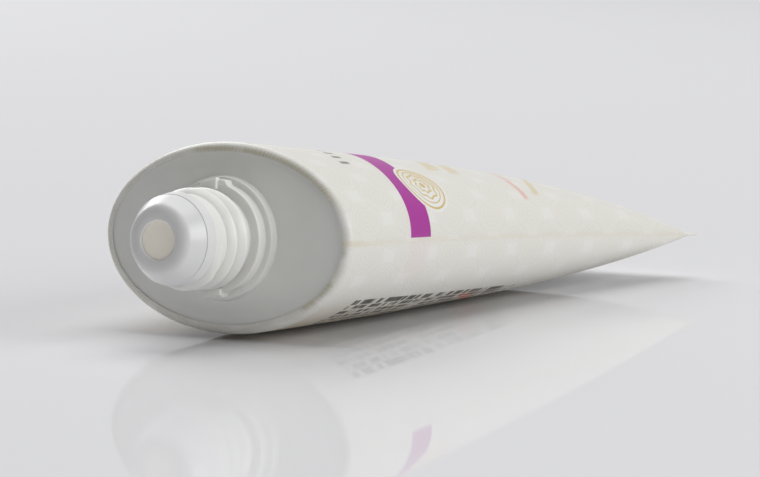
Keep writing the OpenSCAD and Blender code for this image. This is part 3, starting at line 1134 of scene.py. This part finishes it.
@dataclass(frozen=True)
class Lamp:
    """Soft rectangular lamp: its place and size in metres and its power in watts."""

    name: str
    place: tuple[float, float, float]
    size: tuple[float, float]
    power: float
    colour: str = "ffffff"


@dataclass(frozen=True)
class Studio:
    """Flat polished white table, soft lights and the camera."""

    lens_px: float = 3500.0
    photo_w: float = 760.0
    photo_h: float = 477.0
    azimuth: float = 30.314
    elevation: float = 6.109
    roll: float = -0.403
    distance: float = 572.8
    seen_x: float = 229.705
    seen_y: float = 237.743
    world_light: float = 0.03
    world_shown: float = 0.74
    world_colour: str = "d8d8da"
    table_size: float = 8.0
    table_colour: str = "e3e3e5"
    table_roughness: float = 0.035
    table_ior: float = 1.45
    matt_share: float = 0.42
    lamp_aim: tuple[float, float, float] = (0.0, 0.0, 0.015)
    lamps: tuple[Lamp, ...] = (
        Lamp("side_softbox", (2.0, 0.15, 0.7), (1.6, 1.2), 28.5),
        Lamp("left_softbox", (-1.6, 1.0, 1.2), (1.6, 1.4), 26.0),
        Lamp("top_softbox", (0.0, 0.5, 2.2), (2.4, 2.0), 38.0),
        Lamp("front_card", (0.25, -1.3, 0.12), (1.6, 0.24), 1.7),
    )

    def camera(self) -> None:
        """Puts the camera where the photograph was taken from."""
        az, el, roll = (math.radians(a) for a in (self.azimuth, self.elevation, self.roll))
        ahead = Vector((-math.sin(az) * math.cos(el), math.cos(az) * math.cos(el), -math.sin(el)))
        side = Vector((math.cos(az), math.sin(az), 0))
        above = side.cross(ahead)
        right = side * math.cos(roll) + above * math.sin(roll)
        up = above * math.cos(roll) - side * math.sin(roll)
        rim = FORM.laid() @ Vector((0, 0, 0))
        across = (self.seen_x - self.photo_w / 2) / self.lens_px
        down = (self.seen_y - self.photo_h / 2) / self.lens_px
        place = rim - self.distance * MM * (ahead + across * right - down * up)
        data = bpy.data.cameras.new("camera")
        data.sensor_width = 36.0
        data.lens = 36.0 * self.lens_px / self.photo_w
        data.clip_start, data.clip_end = 0.05, 20.0
        obj = bpy.data.objects.new("camera", data)
        turn = Matrix((right, up, -ahead)).transposed().to_4x4()
        obj.matrix_world = Matrix.Translation(place) @ turn
        bpy.context.scene.collection.objects.link(obj)
        bpy.context.scene.camera = obj

    def table(self) -> None:
        """Models the sheet that is both floor and backdrop, polished over matt white."""
        bpy.ops.object.select_all(action="DESELECT")
        bpy.ops.mesh.primitive_plane_add(size=self.table_size, location=(0, 0, 0))
        floor = bpy.context.object
        floor.name = "table_sheet"
        colour = linear(self.table_colour)
        made, tree, out = make_material("satin_white_acrylic_sheet")
        surface = add_node(
            tree, "BsdfPrincipled",
            {"Base Color": colour, "Roughness": self.table_roughness, "IOR": self.table_ior},
        )
        matt = add_node(tree, "BsdfDiffuse", colour)
        mix = add_node(tree, "MixShader", self.matt_share, surface, matt)
        tree.links.new(mix.outputs[0], out.inputs[0])
        floor.data.materials.append(made)

    def lamp(self, lamp: Lamp) -> None:
        """Adds a soft rectangular lamp that points at the tube."""
        data = bpy.data.lights.new(lamp.name, "AREA")
        data.shape, data.size, data.size_y = "RECTANGLE", *lamp.size
        data.energy, data.color = lamp.power, linear(lamp.colour)[:3]
        obj = bpy.data.objects.new(lamp.name, data)
        obj.location = lamp.place
        ahead = Vector(self.lamp_aim) - Vector(lamp.place)
        obj.rotation_euler = ahead.to_track_quat("-Z", "Y").to_euler()
        bpy.context.scene.collection.objects.link(obj)

    def light(self) -> None:
        """Lights the tube from both sides and above, and weakly from the front."""
        for lamp in self.lamps:
            self.lamp(lamp)
        world = bpy.data.worlds.new("studio")
        bpy.context.scene.world = world
        world.use_nodes = True
        tree = world.node_tree
        tree.nodes.clear()
        path = add_node(tree, "LightPath")
        shown = add_node(
            tree, "Math:MAXIMUM", path.outputs["Is Camera Ray"], path.outputs["Is Glossy Ray"]
        )
        lit = add_node(tree, "Background", linear("ffffff"), self.world_light)
        seen = add_node(tree, "Background", linear(self.world_colour), self.world_shown)
        mix = add_node(tree, "MixShader", shown, lit, seen)
        out = add_node(tree, "OutputWorld")
        tree.links.new(mix.outputs[0], out.inputs[0])

    def build(self) -> None:
        """Builds the whole room."""
        self.camera()
        self.table()
        self.light()
        bpy.context.scene.view_settings.view_transform = "Standard"


def main() -> None:
    """Builds the room and the four pieces, and reports each one."""
    logging.basicConfig(level=logging.INFO, format="%(name)s: %(message)s")
    Studio().build()
    head, insert = TubeHead(), NozzleInsert()
    Sleeve().build()
    head.build()
    insert.build()
    Cream().build(head, insert)


if __name__ == "__main__":
    main()
